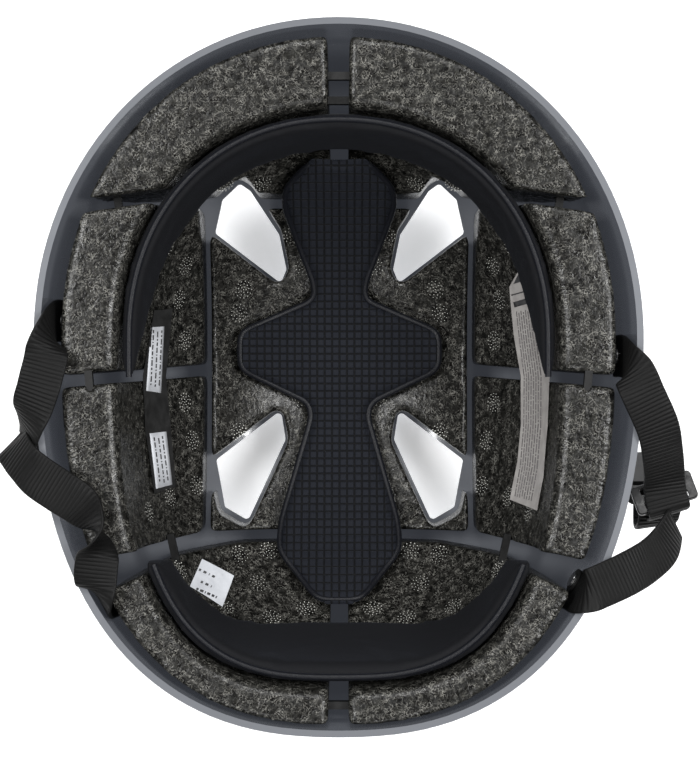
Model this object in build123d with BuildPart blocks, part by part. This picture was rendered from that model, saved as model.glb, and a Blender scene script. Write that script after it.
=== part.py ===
from build123d import *
import os
from math import copysign, cos, radians, sin, sqrt, pi

os.makedirs("parts", exist_ok=True)

# A climbing helmet that lies on its crown, with the head opening upwards.
# +Z points out of the head opening, +Y to the forehead, +X to the wearer's left ear.
# The origin is the middle of the small flat at the lowest point of the crown. Lengths in mm.

# ---------------------------------------------------------------- driving dimensions
WIDEST_Y = 14.0            # the widest section lies a little ahead of the middle
DEPTH_TOP = 152.0          # height at which every dome section reaches its full outline
BOXINESS = 2.3             # 2 makes elliptical side profiles, more makes them squarer
DOME_ANGLES = (5, 15, 26, 37, 48, 59, 69, 79, 90)
FIRST_COSINE = cos(radians(DOME_ANGLES[0])) ** (2 / BOXINESS)

SHELL_HALF_WIDTH = 119.5
SHELL_FRONT = 126.0        # from the widest section to the forehead edge
SHELL_REAR = 154.0         # from the widest section to the nape edge
SHELL_WALL = 2.6
SHELL_POWERS = (2.05, 2.4)      # squareness of the outline ahead of and behind its widest place
SHELL_BASE = -DEPTH_TOP * (1 - FIRST_COSINE) / FIRST_COSINE    # brings the crown's flat to z = 0

LINER_HALF_WIDTH = 109.5
LINER_FRONT = 119.4
LINER_REAR = 150.0
LINER_POWERS = (2.1, 2.45)
LINER_BASE = 3.1
LINER_BELOW_RIM = 3.0
LINER_EDGE_RADIUS = 4.5
CAVITY_EDGE_LOW = 110.0    # the cavity's rim edges all lie higher than this

CAVITY_HALF_WIDTH = 87.5
CAVITY_FRONT = 92.0
CAVITY_REAR = 136.5
CAVITY_POWERS = (2.15, 2.9)
CAVITY_BASE = 29.0

VENT_CLEARANCE = 1.6       # the liner's vent holes are this much larger all round

PATCH_LAYER = (0.2, 1.1)   # hook patches, measured inwards from the cavity surface
PAD_LAYER = (1.3, 7.8)
LABEL_LAYER = (0.15, 0.55)

WEBBING_WIDTH = 17.0
WEBBING_THICKNESS = 1.4
RIVET_RADIUS = 2.0
RIVET_HEAD_RADIUS = 5.0
BUCKLE_WIDTH = 22.0


# ---------------------------------------------------------------- dome geometry
class Form:
    """One dome surface: the outline at full height and the height of its lowest point."""

    def __init__(self, half_width, front, rear, front_power, rear_power, base):
        self.half_width = half_width
        self.front = front
        self.rear = rear
        self.front_power = front_power
        self.rear_power = rear_power
        self.base = base

    def inset(self, distance):
        """The same dome moved inwards by a distance on every side."""
        return Form(
            self.half_width - distance,
            self.front - distance,
            self.rear - distance,
            self.front_power,
            self.rear_power,
            self.base + distance,
        )

    def outline(self, scale, count=32):
        """Points of the egg-shaped section, counted from +X through +Y."""
        points = []
        for k in range(count):
            turn = 2 * pi * k / count
            ahead = sin(turn) >= 0
            reach = self.front if ahead else self.rear
            power = self.front_power if ahead else self.rear_power
            x = self.half_width * copysign(abs(cos(turn)) ** (2 / power), cos(turn))
            y = WIDEST_Y + reach * copysign(abs(sin(turn)) ** (2 / power), sin(turn))
            points.append((x * scale, y * scale))
        return points

    def height(self, angle):
        """Height of the section at a polar angle in degrees."""
        return self.base + (DEPTH_TOP - self.base) * (1 - cos(radians(angle)) ** (2 / BOXINESS))

    def scale_at(self, z):
        """Share of the full outline that the section at height z has."""
        share = max(0.0, 1 - (z - self.base) / (DEPTH_TOP - self.base))
        cosine = share ** (BOXINESS / 2)
        return sqrt(1 - cosine**2) ** (2 / BOXINESS)

    def wall_x(self, y, z):
        """Half-width of the dome at a lengthwise place y and a height z."""
        scale = self.scale_at(z)
        along = y / scale - WIDEST_Y
        reach = self.front if along >= 0 else self.rear
        power = self.front_power if along >= 0 else self.rear_power
        return self.half_width * scale * (1 - (abs(along) / reach) ** power) ** (1 / power)


SHELL_FORM = Form(SHELL_HALF_WIDTH, SHELL_FRONT, SHELL_REAR, *SHELL_POWERS, SHELL_BASE)
LINER_FORM = Form(LINER_HALF_WIDTH, LINER_FRONT, LINER_REAR, *LINER_POWERS, LINER_BASE)
CAVITY_FORM = Form(CAVITY_HALF_WIDTH, CAVITY_FRONT, CAVITY_REAR, *CAVITY_POWERS, CAVITY_BASE)


def dome(form):
    """Solid dome lofted through its horizontal sections."""
    with BuildPart() as solid:
        for angle in DOME_ANGLES:
            scale = sin(radians(angle)) ** (2 / BOXINESS)
            with BuildSketch(Plane.XY.offset(form.height(angle))):
                with BuildLine():
                    Spline(*form.outline(scale), periodic=True)
                make_face()
        loft()
    return solid.part


def rim_height(y):
    """Height of the shell's edge, a little lower at the ears than at forehead and nape."""
    if y > 30:
        return 138.0 + 3.0 * ((y - 30) / 110) ** 2
    if y < -20:
        return 138.0 + 9.0 * ((y + 20) / 120) ** 2
    return 138.0


def keep_below_rim(drop):
    """Cut the part in the open block off along the rim curve, lowered by drop."""
    with BuildSketch(Plane.YZ) as below:
        with BuildLine():
            curve = Spline(*[(y, rim_height(y) - drop) for y in range(-160, 161, 40)])
            Polyline(curve @ 1, (160, -20), (-160, -20), curve @ 0)
        make_face()
    extrude(below.sketch, amount=140, both=True, mode=Mode.INTERSECT)


def mirrored(points):
    return [(-x, y) for x, y in points]


def layer(form, limits):
    """Closed skin between two insets of a dome."""
    outer, inner = (dome(form.inset(distance)) for distance in limits)
    with BuildPart() as skin:
        add(outer)
        add(inner, mode=Mode.SUBTRACT)
    return skin.part


# ---------------------------------------------------------------- outlines in plan
FRONT_VENT = [(43, 83), (50.5, 76), (54, 62), (26, 41), (23.5, 47), (26.5, 62), (38.5, 80)]
REAR_VENT = [(26, -15), (24, -28), (40, -63), (50, -57), (54, -36.5)]
VENTS = [FRONT_VENT, REAR_VENT, mirrored(FRONT_VENT), mirrored(REAR_VENT)]

CROWN_EDGE = 54.5          # half-width of the crown segment
SIDE_EDGE = 57.5           # where the side segments start
OUTSIDE = 150

CROWN_REGION = [
    (-30, 71),
    (30, 71),
    (CROWN_EDGE, 58),
    (CROWN_EDGE, -65.5),
    (-CROWN_EDGE, -65.5),
    (-CROWN_EDGE, 58),
]
FRONT_REGION = [(3.6, 76.5), (50, 76.5), (OUTSIDE, 62), (OUTSIDE, OUTSIDE), (4.5, OUTSIDE)]
SIDE_FRONT_REGION = [
    (SIDE_EDGE, 70.5),
    (OUTSIDE, 57),
    (OUTSIDE, -4),
    (SIDE_EDGE, 5.2),
]
SIDE_REAR_REGION = [
    (SIDE_EDGE, 0.2),
    (OUTSIDE, -8.5),
    (OUTSIDE, -85),
    (86, -70),
    (SIDE_EDGE, -65.5),
]
REAR_REGION = [
    (3.4, -70.5),
    (42, -70.5),
    (68, -74),
    (90, -84),
    (OUTSIDE, -118),
    (OUTSIDE, -OUTSIDE - 20),
    (4.3, -OUTSIDE - 20),
]


def plan_prism(points, top, bottom=0, mode=Mode.ADD, corner=0.0, grow=0.0):
    """Prism over a polygon in plan, with rounded corners and an optional margin."""
    with BuildSketch(Plane.XY.offset(bottom)) as region:
        with BuildLine():
            Polyline(*points, close=True)
        make_face()
        if corner:
            fillet(region.vertices(), radius=corner)
        if grow:
            offset(amount=grow)
    extrude(region.sketch, amount=top - bottom, mode=mode)


# ---------------------------------------------------------------- outer shell
shell_outside = dome(SHELL_FORM)
shell_inside = dome(SHELL_FORM.inset(SHELL_WALL))


class Anchor:
    """Rivet place of a strap end: a plane on the shell's outer wall, facing outwards."""

    def __init__(self, side, y, z):
        x = SHELL_FORM.wall_x(y, z)
        slope_y = (SHELL_FORM.wall_x(y + 1, z) - SHELL_FORM.wall_x(y - 1, z)) / 2
        slope_z = (SHELL_FORM.wall_x(y, z + 1) - SHELL_FORM.wall_x(y, z - 1)) / 2
        self.across = Vector(side * slope_y, 1, 0).normalized()
        self.plane = Plane(
            origin=(side * x, y, z),
            x_dir=self.across,
            z_dir=(side, -slope_y, -slope_z),
        )


ANCHORS = {
    "left_front": Anchor(-1, 22, 112),
    "left_rear": Anchor(-1, -88, 116),
    "right_front": Anchor(1, 8, 112),
    "right_rear": Anchor(1, -84, 116),
}

with BuildPart() as outer_shell:
    add(shell_outside)
    add(shell_inside, mode=Mode.SUBTRACT)
    keep_below_rim(0)
    for vent in VENTS:
        plan_prism(vent, 60, -5, mode=Mode.SUBTRACT, corner=1.8)
    for anchor in ANCHORS.values():
        with BuildSketch(anchor.plane.offset(3)):
            Circle(RIVET_RADIUS + 0.1)
        extrude(amount=-9, mode=Mode.SUBTRACT)

# ---------------------------------------------------------------- liner segments and links
LINK_WIDTH = 3.0
LINK_HEIGHT = 5.0
LINK_LENGTH = 12.0
LINKS = {
    "front_liner_links": [((88, 68.6, 112), -9), ((-88, 68.6, 112), 9)],
    "side_liner_links": [
        ((98, -1.4, 129), -5),
        ((77, 0.6, 72), -5),
        ((-98, -1.4, 129), 5),
        ((-77, 0.6, 72), 5),
    ],
    "rear_liner_links": [((68, -70.6, 84), -12), ((-68, -70.6, 84), 12)],
    "centre_liner_links": [
        ((0, 118, 127), 90),
        ((0, 109, 121), 90),
        ((0, -108, 78), 90),
        ((0, -129, 131), 90),
    ],
}


def link_blocks(places, mode=Mode.ADD):
    """Small bars that bridge the slots, each at a place and turned about +Z."""
    for (x, y, z), turn in places:
        with BuildSketch(Plane.XY.offset(z)) as bar:
            with Locations(Location((x, y), turn)):
                Rectangle(LINK_WIDTH, LINK_LENGTH)
        extrude(bar.sketch, amount=LINK_HEIGHT, mode=mode)


with BuildPart() as liner_blank:
    add(dome(LINER_FORM))
    add(dome(CAVITY_FORM), mode=Mode.SUBTRACT)
    keep_below_rim(LINER_BELOW_RIM)
    cavity_wall = liner_blank.faces().filter_by(GeomType.BSPLINE).sort_by(SortBy.AREA)[0]
    inner_edge = [edge for edge in cavity_wall.edges() if (edge @ 0.5).Z > CAVITY_EDGE_LOW]
    fillet(inner_edge, radius=LINER_EDGE_RADIUS)
    for vent in VENTS:
        plan_prism(vent, 80, mode=Mode.SUBTRACT, corner=1.8, grow=VENT_CLEARANCE)
    for places in LINKS.values():
        link_blocks(places, mode=Mode.SUBTRACT)


def liner_segment(region):
    """The part of the liner that lies over one region of the plan."""
    with BuildPart() as segment:
        add(liner_blank.part)
        plan_prism(region, 170, mode=Mode.INTERSECT)
    return segment.part


finished = {}
finished["outer_shell"] = outer_shell.part
finished["crown_liner"] = liner_segment(CROWN_REGION)
REGIONS = {
    "front_liner": FRONT_REGION,
    "side_front_liner": SIDE_FRONT_REGION,
    "side_rear_liner": SIDE_REAR_REGION,
    "rear_liner": REAR_REGION,
}
for segment_name, region in REGIONS.items():
    finished[segment_name + "_right"] = liner_segment(region)
    finished[segment_name + "_left"] = liner_segment(mirrored(region))

for group_name, places in LINKS.items():
    with BuildPart() as links:
        link_blocks(places)
    finished[group_name] = links.part

# ---------------------------------------------------------------- comfort pads and labels
pad_skin = layer(CAVITY_FORM, PAD_LAYER)
patch_skin = layer(CAVITY_FORM, PATCH_LAYER)
label_skin = layer(CAVITY_FORM, LABEL_LAYER)

CROWN_PAD_HALF = [
    (12.5, 88.5),
    (22.5, 79),
    (23.5, 72),
    (11, 40),
    (11, 33),
    (43, 19),
    (43, 3),
    (14, -11),
    (12, -17),
    (25, -62),
    (26, -74),
    (9, -94),
]
CROWN_PAD = CROWN_PAD_HALF + mirrored(reversed(CROWN_PAD_HALF))

with BuildPart() as crown_pad:
    add(pad_skin)
    plan_prism(CROWN_PAD, 120, mode=Mode.INTERSECT, corner=2.5)
finished["crown_pad"] = crown_pad.part

FRONT_PAD_SIDE = [
    (-1, 141),
    (-1, 130),
    (10, 117),
    (28, 106),
    (60, 100),
    (120, 97),
    (120, 141),
]
with BuildPart() as front_pad:
    add(pad_skin)
    keep_below_rim(LINER_BELOW_RIM + LINER_EDGE_RADIUS)
    with BuildSketch(Plane.YZ):
        with BuildLine():
            Polyline(*FRONT_PAD_SIDE, close=True)
        make_face()
    extrude(amount=120, both=True, mode=Mode.INTERSECT)
finished["front_pad"] = front_pad.part

REAR_PAD_END = 72.0        # the wings stop this far behind the origin
REAR_PAD_HALF = [(84, 150), (84, 128), (66, 108), (46, 99), (30, 91), (14, 87)]
with BuildPart() as rear_pad:
    add(pad_skin)
    keep_below_rim(LINER_BELOW_RIM + LINER_EDGE_RADIUS)
    with BuildSketch(Plane.XZ.offset(REAR_PAD_END)):
        with BuildLine():
            Polyline(*(REAR_PAD_HALF + mirrored(reversed(REAR_PAD_HALF))), close=True)
        make_face()
    extrude(amount=90, mode=Mode.INTERSECT)
finished["rear_pad"] = rear_pad.part

PATCH = 15.0


def patch_group(places):
    """Thin squares of hook tape on the cavity surface, seen in plan."""
    with BuildPart() as group:
        with BuildSketch():
            with Locations(*places):
                RectangleRounded(PATCH, PATCH, 2)
        extrude(amount=110)
        add(patch_skin, mode=Mode.INTERSECT)
    return group.part


CROWN_PATCHES = [(0, 82), (0, 11), (30, 11), (-30, 11), (0, -40), (0, -82)]
finished["crown_hook_patches"] = patch_group(CROWN_PATCHES)


def band_patches(centres, low, high, ahead):
    """Hook tape strips behind a brow or nape pad, each at a place across the helmet."""
    with BuildPart() as group:
        with BuildSketch(Plane.XZ.offset(-20 if ahead else 60)):
            for x in centres:
                with Locations((x, (low + high) / 2)):
                    RectangleRounded(PATCH, high - low, 2)
        extrude(amount=-120 if ahead else 90)
        add(patch_skin, mode=Mode.INTERSECT)
    return group.part


finished["front_hook_patches"] = band_patches((-48, 0, 48), 106, 122, True)
finished["rear_hook_patches"] = band_patches((-48, 0, 48), 108, 124, False)

INSTRUCTION_LABEL = [
    (74.5, 45),
    (78.5, 39),
    (82, 25),
    (84.3, 0),
    (83.6, -20),
    (82, -40),
    (79.5, -54),
    (70.5, -51),
    (73.6, -35),
    (75, -20),
    (75, 0),
    (72.5, 17),
    (70.5, 37),
]
with BuildPart() as instruction_label:
    add(label_skin)
    plan_prism(INSTRUCTION_LABEL, 130, mode=Mode.INTERSECT)
finished["instruction_label"] = instruction_label.part

PRODUCTION_LABEL = [
    (-76, 27),
    (-69.5, 28),
    (-72, 0),
    (-68, -46),
    (-75.5, -48),
    (-79, -22),
    (-80, 0),
]
with BuildPart() as production_label:
    add(label_skin)
    plan_prism(PRODUCTION_LABEL, 130, mode=Mode.INTERSECT)
finished["production_label"] = production_label.part

SIZE_LABEL = [(-57, -76), (-44, -83.5), (-48, -95), (-61, -86)]
with BuildPart() as size_label:
    add(label_skin)
    plan_prism(SIZE_LABEL, 130, mode=Mode.INTERSECT)
finished["size_label"] = size_label.part

# ---------------------------------------------------------------- rivets, washers, strap anchors
WASHER_RADIUS = 5.0
STRAP_LAYER = -SHELL_WALL - 0.6 - WEBBING_THICKNESS / 2
WASHER_TOP = STRAP_LAYER - WEBBING_THICKNESS / 2 - 0.2
WASHER_THICKNESS = 0.8
RIVET_TAIL = WASHER_TOP - WASHER_THICKNESS - 0.1

with BuildPart() as strap_rivets:
    for anchor in ANCHORS.values():
        with BuildSketch(anchor.plane.offset(0.25)):
            Circle(RIVET_HEAD_RADIUS)
        extrude(amount=1.6, taper=28)
        with BuildSketch(anchor.plane.offset(0.25)):
            Circle(RIVET_RADIUS)
        extrude(amount=RIVET_TAIL - 0.25)
        with BuildSketch(anchor.plane.offset(RIVET_TAIL)):
            Circle(RIVET_RADIUS + 1)
        extrude(amount=-0.8)
finished["strap_rivets"] = strap_rivets.part

with BuildPart() as strap_washers:
    for anchor in ANCHORS.values():
        with BuildSketch(anchor.plane.offset(WASHER_TOP)):
            Circle(WASHER_RADIUS)
            Circle(RIVET_RADIUS + 0.1, mode=Mode.SUBTRACT)
        extrude(amount=-WASHER_THICKNESS)
finished["strap_washers"] = strap_washers.part


def webbing(stations, anchor=None):
    """Flat strap through stations, each a centre and the direction of its width there."""
    last = len(stations) - 1
    with BuildPart() as strap:
        for k, (centre, across) in enumerate(stations):
            ahead = Vector(stations[min(k + 1, last)][0]) - Vector(stations[max(k - 1, 0)][0])
            ahead = ahead.normalized()
            flat = Vector(across) - ahead * ahead.dot(Vector(across))
            with BuildSketch(Plane(origin=centre, x_dir=flat.normalized(), z_dir=ahead)):
                Rectangle(WEBBING_WIDTH, WEBBING_THICKNESS)
        loft(ruled=True)
        if anchor:
            with BuildSketch(anchor.plane.offset(3)):
                Circle(RIVET_RADIUS + 0.1)
            extrude(amount=-12, mode=Mode.SUBTRACT)
    return strap.part


def anchor_stations(anchor, rise):
    """The sewn end below the rivet and the stretch up along the shell's inner wall."""
    across = anchor.across
    up = anchor.plane.z_dir.cross(across)
    up = up if up.Z > 0 else up * -1
    centre = anchor.plane.origin + anchor.plane.z_dir * STRAP_LAYER
    return [(centre - up * 8, across), (centre + up * rise, across)]


ANCHOR_TOPS = {
    "left_front": [
        ((-112.4, 19, 136), (-0.1, 1, 0)),
        ((-112.9, 13, 141.6), (-0.45, 0.89, 0)),
        ((-113.2, 6, 142.4), (-0.6, 0.8, 0)),
    ],
    "left_rear": [
        ((-92.9, -86.5, 139), (-0.45, 0.9, 0)),
        ((-93.6, -84, 143.5), (-0.6, 0.8, 0)),
        ((-94, -77, 146), (-0.95, 0.3, 0)),
        ((-93, -69, 147), (-0.9, 0.1, 0.4)),
        ((-92.5, -63, 148), (-0.35, 0, 0.95)),
        ((-95, -56, 148), (0.5, 0.3, 0.8)),
    ],
    "right_front": [((112.6, 7, 136), (0, 1, 0)), ((114, 2, 142.3), (0.3, 0.95, 0))],
    "right_rear": [
        ((94.2, -85.2, 139), (0.47, 0.88, 0)),
        ((95.2, -84.4, 143.2), (0.4, 0.92, 0)),
        ((97.6, -83.5, 144.6), (0.2, 0.98, 0)),
    ],
}
for anchor_name, anchor in ANCHORS.items():
    stations = anchor_stations(anchor, 12) + ANCHOR_TOPS[anchor_name]
    finished[anchor_name + "_anchor_webbing"] = webbing(stations, anchor)

# ---------------------------------------------------------------- moving webbing
finished["left_front_webbing"] = webbing(
    [
        ((-116, -3, 143), (-0.7, 0.7, 0)),
        ((-118.8, -11, 142), (-0.88, 0.45, -0.15)),
        ((-120.8, -18, 139), (-0.6, 0.6, -0.5)),
        ((-122.3, -24, 133.5), (-0.4, 0.55, -0.73)),
        ((-123.7, -28, 128.5), (-0.3, 0.6, -0.7)),
    ]
)
finished["left_rear_webbing"] = webbing(
    [
        ((-100, -50, 147), (0.75, 0.6, 0.3)),
        ((-108.4, -44.5, 146), (0.8, 0.6, 0.1)),
        ((-117, -39, 143), (0.8, 0.6, 0.2)),
        ((-123, -33.5, 140), (0.75, 0.4, 0.5)),
        ((-127, -28.5, 134.5), (0.7, 0.3, 0.65)),
    ]
)
finished["right_front_webbing"] = webbing(
    [
        ((118, -7, 142.5), (0.73, 0.68, 0)),
        ((124.5, -20, 140), (0.87, 0.48, 0)),
        ((127, -30, 134.5), (0.93, 0.36, -0.1)),
        ((128.5, -39, 128), (0.95, 0.3, -0.2)),
    ]
)
finished["right_rear_webbing"] = webbing(
    [
        ((104.5, -80.5, 144), (-0.35, 0.93, 0)),
        ((113, -76.8, 141), (-0.4, 0.9, 0)),
        ((121.7, -72.5, 134), (-0.45, 0.85, 0.2)),
        ((128.7, -67, 127), (-0.6, 0.7, 0.4)),
        ((133.5, -59, 121), (-0.5, 0.45, 0.75)),
    ]
)

# ---------------------------------------------------------------- strap dividers
DIVIDER_LENGTH = 25.0
DIVIDER_WIDTH = 12.0
DIVIDER_THICKNESS = 2.4
SLOT_LENGTH = 18.0
SLOT_WIDTH = 3.0


def divider(plane):
    """Plate with two slots and a bar between them, which joins the two legs of a strap."""
    with BuildPart() as plate:
        with BuildSketch(plane):
            RectangleRounded(DIVIDER_LENGTH, DIVIDER_WIDTH, 1.8)
            with Locations((0, 3), (0, -3)):
                RectangleRounded(SLOT_LENGTH, SLOT_WIDTH, 0.8, mode=Mode.SUBTRACT)
        extrude(amount=DIVIDER_THICKNESS)
        chamfer(plate.edges().filter_by(GeomType.CIRCLE, reverse=True).group_by(SortBy.LENGTH)[-1], 0.4)
    return plate.part


RIGHT_DIVIDER_PLANE = Plane(origin=(129.5, -47, 119.5), x_dir=(0.95, 0.31, 0), z_dir=(-0.12, 0.36, 0.92))
LEFT_DIVIDER_PLANE = Plane(origin=(-122.5, -30, 117.5), x_dir=(0, 1, 0), z_dir=(-1, 0, 0))
finished["right_divider"] = divider(RIGHT_DIVIDER_PLANE)
finished["left_divider"] = divider(LEFT_DIVIDER_PLANE)

# ---------------------------------------------------------------- short loop and socket half of the buckle
finished["right_short_webbing"] = webbing(
    [
        ((129, -51, 116.8), (0.95, 0.31, 0)),
        ((127.8, -58.5, 111), (0.95, 0.2, 0)),
        ((127.5, -59.5, 103.5), (1, 0.1, 0)),
        ((128, -54, 98), (1, 0, 0)),
        ((128.3, -49.8, 95.8), (1, 0, 0)),
    ]
)

SOCKET_LENGTH = 27.0
SOCKET_THICKNESS = 8.0
SOCKET_PLANE = Plane(origin=(128.5, -49, 95), x_dir=(1, 0, 0), z_dir=(0, 0.52, -0.854))
with BuildPart() as buckle_socket:
    with BuildSketch(SOCKET_PLANE):
        RectangleRounded(BUCKLE_WIDTH, SOCKET_THICKNESS, 3)
    extrude(amount=SOCKET_LENGTH)
    with BuildSketch(SOCKET_PLANE.offset(7)):
        RectangleRounded(BUCKLE_WIDTH - 3.6, SOCKET_THICKNESS - 3.2, 1.2)
    extrude(amount=SOCKET_LENGTH, mode=Mode.SUBTRACT)
    side_window = Plane(
        origin=SOCKET_PLANE.from_local_coords((-15, 0, 16.5)),
        x_dir=SOCKET_PLANE.z_dir,
        z_dir=(1, 0, 0),
    )
    with BuildSketch(side_window):
        RectangleRounded(9, 4.4, 1.5)
    extrude(amount=30, mode=Mode.SUBTRACT)
    bar_slot = Plane(
        origin=SOCKET_PLANE.from_local_coords((0, -8, 3.6)),
        x_dir=(1, 0, 0),
        z_dir=SOCKET_PLANE.y_dir,
    )
    with BuildSketch(bar_slot):
        RectangleRounded(SLOT_LENGTH, 3, 1)
    extrude(amount=16, mode=Mode.SUBTRACT)
finished["buckle_socket"] = buckle_socket.part

# ---------------------------------------------------------------- long chin strap, plug half, keeper
CHIN_X = -123.5
CHIN_Y = -30.0
CHIN_TOP = 110.0
CHIN_END = 10.0
HEM = 8.0

with BuildPart() as left_chin_webbing:
    with BuildSketch(Plane.XY.offset(CHIN_END)):
        with Locations((CHIN_X, CHIN_Y)):
            Rectangle(WEBBING_THICKNESS, WEBBING_WIDTH)
    extrude(amount=CHIN_TOP - CHIN_END)
    with BuildSketch(Plane.XY.offset(CHIN_END)):
        with Locations((CHIN_X, CHIN_Y)):
            Rectangle(2 * WEBBING_THICKNESS, WEBBING_WIDTH)
    extrude(amount=HEM)
finished["left_chin_webbing"] = left_chin_webbing.part

SLEEVE_HEIGHT = 15.0
SLEEVE_DEPTH = 5.6
SLEEVE_Z = 52.0
PRONG_REACH = 22.0
PLUG_OUT = 1.6             # the plug's middle lies this much outside the webbing's
PRONG = [
    (8.4, 1),
    (9.8, -10),
    (11.0, -13),
    (8.6, -PRONG_REACH),
    (6.4, -PRONG_REACH),
    (5.6, 1),
]
with BuildPart() as buckle_plug:
    with BuildSketch(Plane.XY.offset(SLEEVE_Z)):
        with Locations((CHIN_X - PLUG_OUT, CHIN_Y)):
            RectangleRounded(SLEEVE_DEPTH, BUCKLE_WIDTH, 1.2)
    extrude(amount=SLEEVE_HEIGHT)
    with BuildSketch(Plane.XY.offset(SLEEVE_Z - 1)):
        with Locations((CHIN_X, CHIN_Y)):
            Rectangle(WEBBING_THICKNESS + 0.6, WEBBING_WIDTH + 0.8)
    extrude(amount=SLEEVE_HEIGHT + 2, mode=Mode.SUBTRACT)
    with BuildSketch(Plane.YZ.offset(CHIN_X - PLUG_OUT - SLEEVE_DEPTH / 2)):
        with BuildLine():
            Polyline(*[(CHIN_Y + y, SLEEVE_Z + z) for y, z in PRONG], close=True)
        make_face()
        with BuildLine():
            Polyline(*[(CHIN_Y - y, SLEEVE_Z + z) for y, z in PRONG], close=True)
        make_face()
        with Locations((CHIN_Y, SLEEVE_Z - 7)):
            Rectangle(3.2, 16)
    extrude(amount=1.9)
finished["buckle_plug"] = buckle_plug.part

KEEPER_Z = 88.0
KEEPER_HEIGHT = 6.0
with BuildPart() as strap_keeper:
    with BuildSketch(Plane.XY.offset(KEEPER_Z)):
        with Locations((CHIN_X, CHIN_Y)):
            RectangleRounded(4.6, WEBBING_WIDTH + 4, 1.2)
            Rectangle(WEBBING_THICKNESS + 0.6, WEBBING_WIDTH + 0.8, mode=Mode.SUBTRACT)
    extrude(amount=KEEPER_HEIGHT)
finished["strap_keeper"] = strap_keeper.part

# ---------------------------------------------------------------- write the nodes
for node_name, part in finished.items():
    part.label = node_name
    export_step(part, f"parts/{node_name}.step")
    print(f"{node_name:28s} {len(part.solids())} solids {part.volume / 1000:9.2f} cm3")
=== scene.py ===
import math

import bmesh
import bpy
import numpy as np
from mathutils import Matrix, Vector
from mathutils.bvhtree import BVHTree


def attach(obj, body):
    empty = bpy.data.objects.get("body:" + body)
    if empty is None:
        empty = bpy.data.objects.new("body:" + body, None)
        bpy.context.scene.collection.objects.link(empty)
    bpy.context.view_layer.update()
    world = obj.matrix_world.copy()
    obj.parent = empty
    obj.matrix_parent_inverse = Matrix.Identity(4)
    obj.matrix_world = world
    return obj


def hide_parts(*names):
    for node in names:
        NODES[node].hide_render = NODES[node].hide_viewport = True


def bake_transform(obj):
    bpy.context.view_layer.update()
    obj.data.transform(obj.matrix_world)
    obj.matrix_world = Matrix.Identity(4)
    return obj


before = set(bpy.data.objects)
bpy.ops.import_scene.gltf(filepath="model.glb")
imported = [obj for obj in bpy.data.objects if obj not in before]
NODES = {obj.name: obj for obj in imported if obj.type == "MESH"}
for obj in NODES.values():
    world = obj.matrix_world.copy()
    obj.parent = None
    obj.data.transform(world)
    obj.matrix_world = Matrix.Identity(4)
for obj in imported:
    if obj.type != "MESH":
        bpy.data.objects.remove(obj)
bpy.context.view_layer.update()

MM = 0.001
ROOT = "helmet"
LINER_NODES = [name for name in NODES if name.endswith(("_liner", "_liner_left", "_liner_right"))]

# The dome of the head cavity, in mm, as the CAD frame has it.
WIDEST_Y = 14.0
DEPTH_TOP = 152.0
BOXINESS = 2.3
CAVITY = (87.5, 92.0, 136.5, 2.15, 2.9, 29.0)      # half-width, front, rear, front power, rear power, base


# ---------------------------------------------------------------- geometry helpers
def cavity_ring(z, inset, turn):
    """Point in mm of the cavity's section at height z; turn is 0 at +X and 90 at the forehead."""
    half, front, rear, front_power, rear_power, base = CAVITY
    share = max(0.0, 1 - (z - base - inset) / (DEPTH_TOP - base - inset))
    scale = math.sqrt(1 - share**BOXINESS) ** (2 / BOXINESS)
    cos_t, sin_t = math.cos(math.radians(turn)), math.sin(math.radians(turn))
    reach, power = (front, front_power) if sin_t >= 0 else (rear, rear_power)
    x = (half - inset) * math.copysign(abs(cos_t) ** (2 / power), cos_t)
    y = WIDEST_Y + (reach - inset) * math.copysign(abs(sin_t) ** (2 / power), sin_t)
    return Vector((x * scale, y * scale, z))


def new_object(name, mesh):
    obj = bpy.data.objects.new(name, mesh)
    bpy.context.scene.collection.objects.link(obj)
    return obj


def mesh_object(name, points, faces, smooth=True):
    mesh = bpy.data.meshes.new(name)
    mesh.from_pydata([tuple(p) for p in points], [], faces)
    mesh.validate()
    if smooth:
        mesh.shade_smooth()
    return new_object(name, mesh)


def bake_modifiers(obj):
    """Replace the object's mesh by its evaluated one and drop the modifiers."""
    depsgraph = bpy.context.evaluated_depsgraph_get()
    depsgraph.update()
    mesh = bpy.data.meshes.new_from_object(obj.evaluated_get(depsgraph))
    obj.modifiers.clear()
    old = obj.data
    obj.data = mesh
    bpy.data.meshes.remove(old)
    return obj


def tree_of(names):
    """One ray-casting tree over several CAD nodes."""
    points, faces = [], []
    for name in names:
        mesh = NODES[name].data
        start = len(points)
        points += [v.co.copy() for v in mesh.vertices]
        faces += [[start + i for i in polygon.vertices] for polygon in mesh.polygons]
    return BVHTree.FromPolygons(points, faces)


def drop_on(tree, x, y, above=0.20):
    """Where a point straight above (x, y), in mm, lands on the tree, with the surface normal."""
    hit, normal, _, _ = tree.ray_cast(Vector((x * MM, y * MM, above)), Vector((0, 0, -1)))
    if hit is None:
        return None
    return hit, normal if normal.z > 0 else -normal


def tube(name, points, radius, closed=False):
    """Round tube through points in metres, as a mesh."""
    curve = bpy.data.curves.new(name, "CURVE")
    curve.dimensions = "3D"
    curve.bevel_depth = radius
    curve.bevel_resolution = 3
    curve.use_fill_caps = not closed
    spline = curve.splines.new("NURBS")
    spline.points.add(len(points) - 1)
    for control, point in zip(spline.points, points):
        control.co = (*point, 1)
    spline.order_u = 3
    spline.use_endpoint_u = not closed
    spline.use_cyclic_u = closed
    spline.resolution_u = 4
    holder = new_object(name + "_path", curve)
    depsgraph = bpy.context.evaluated_depsgraph_get()
    mesh = bpy.data.meshes.new_from_object(holder.evaluated_get(depsgraph))
    bpy.data.objects.remove(holder)
    mesh.name = name
    mesh.shade_smooth()
    return new_object(name, mesh)


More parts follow.
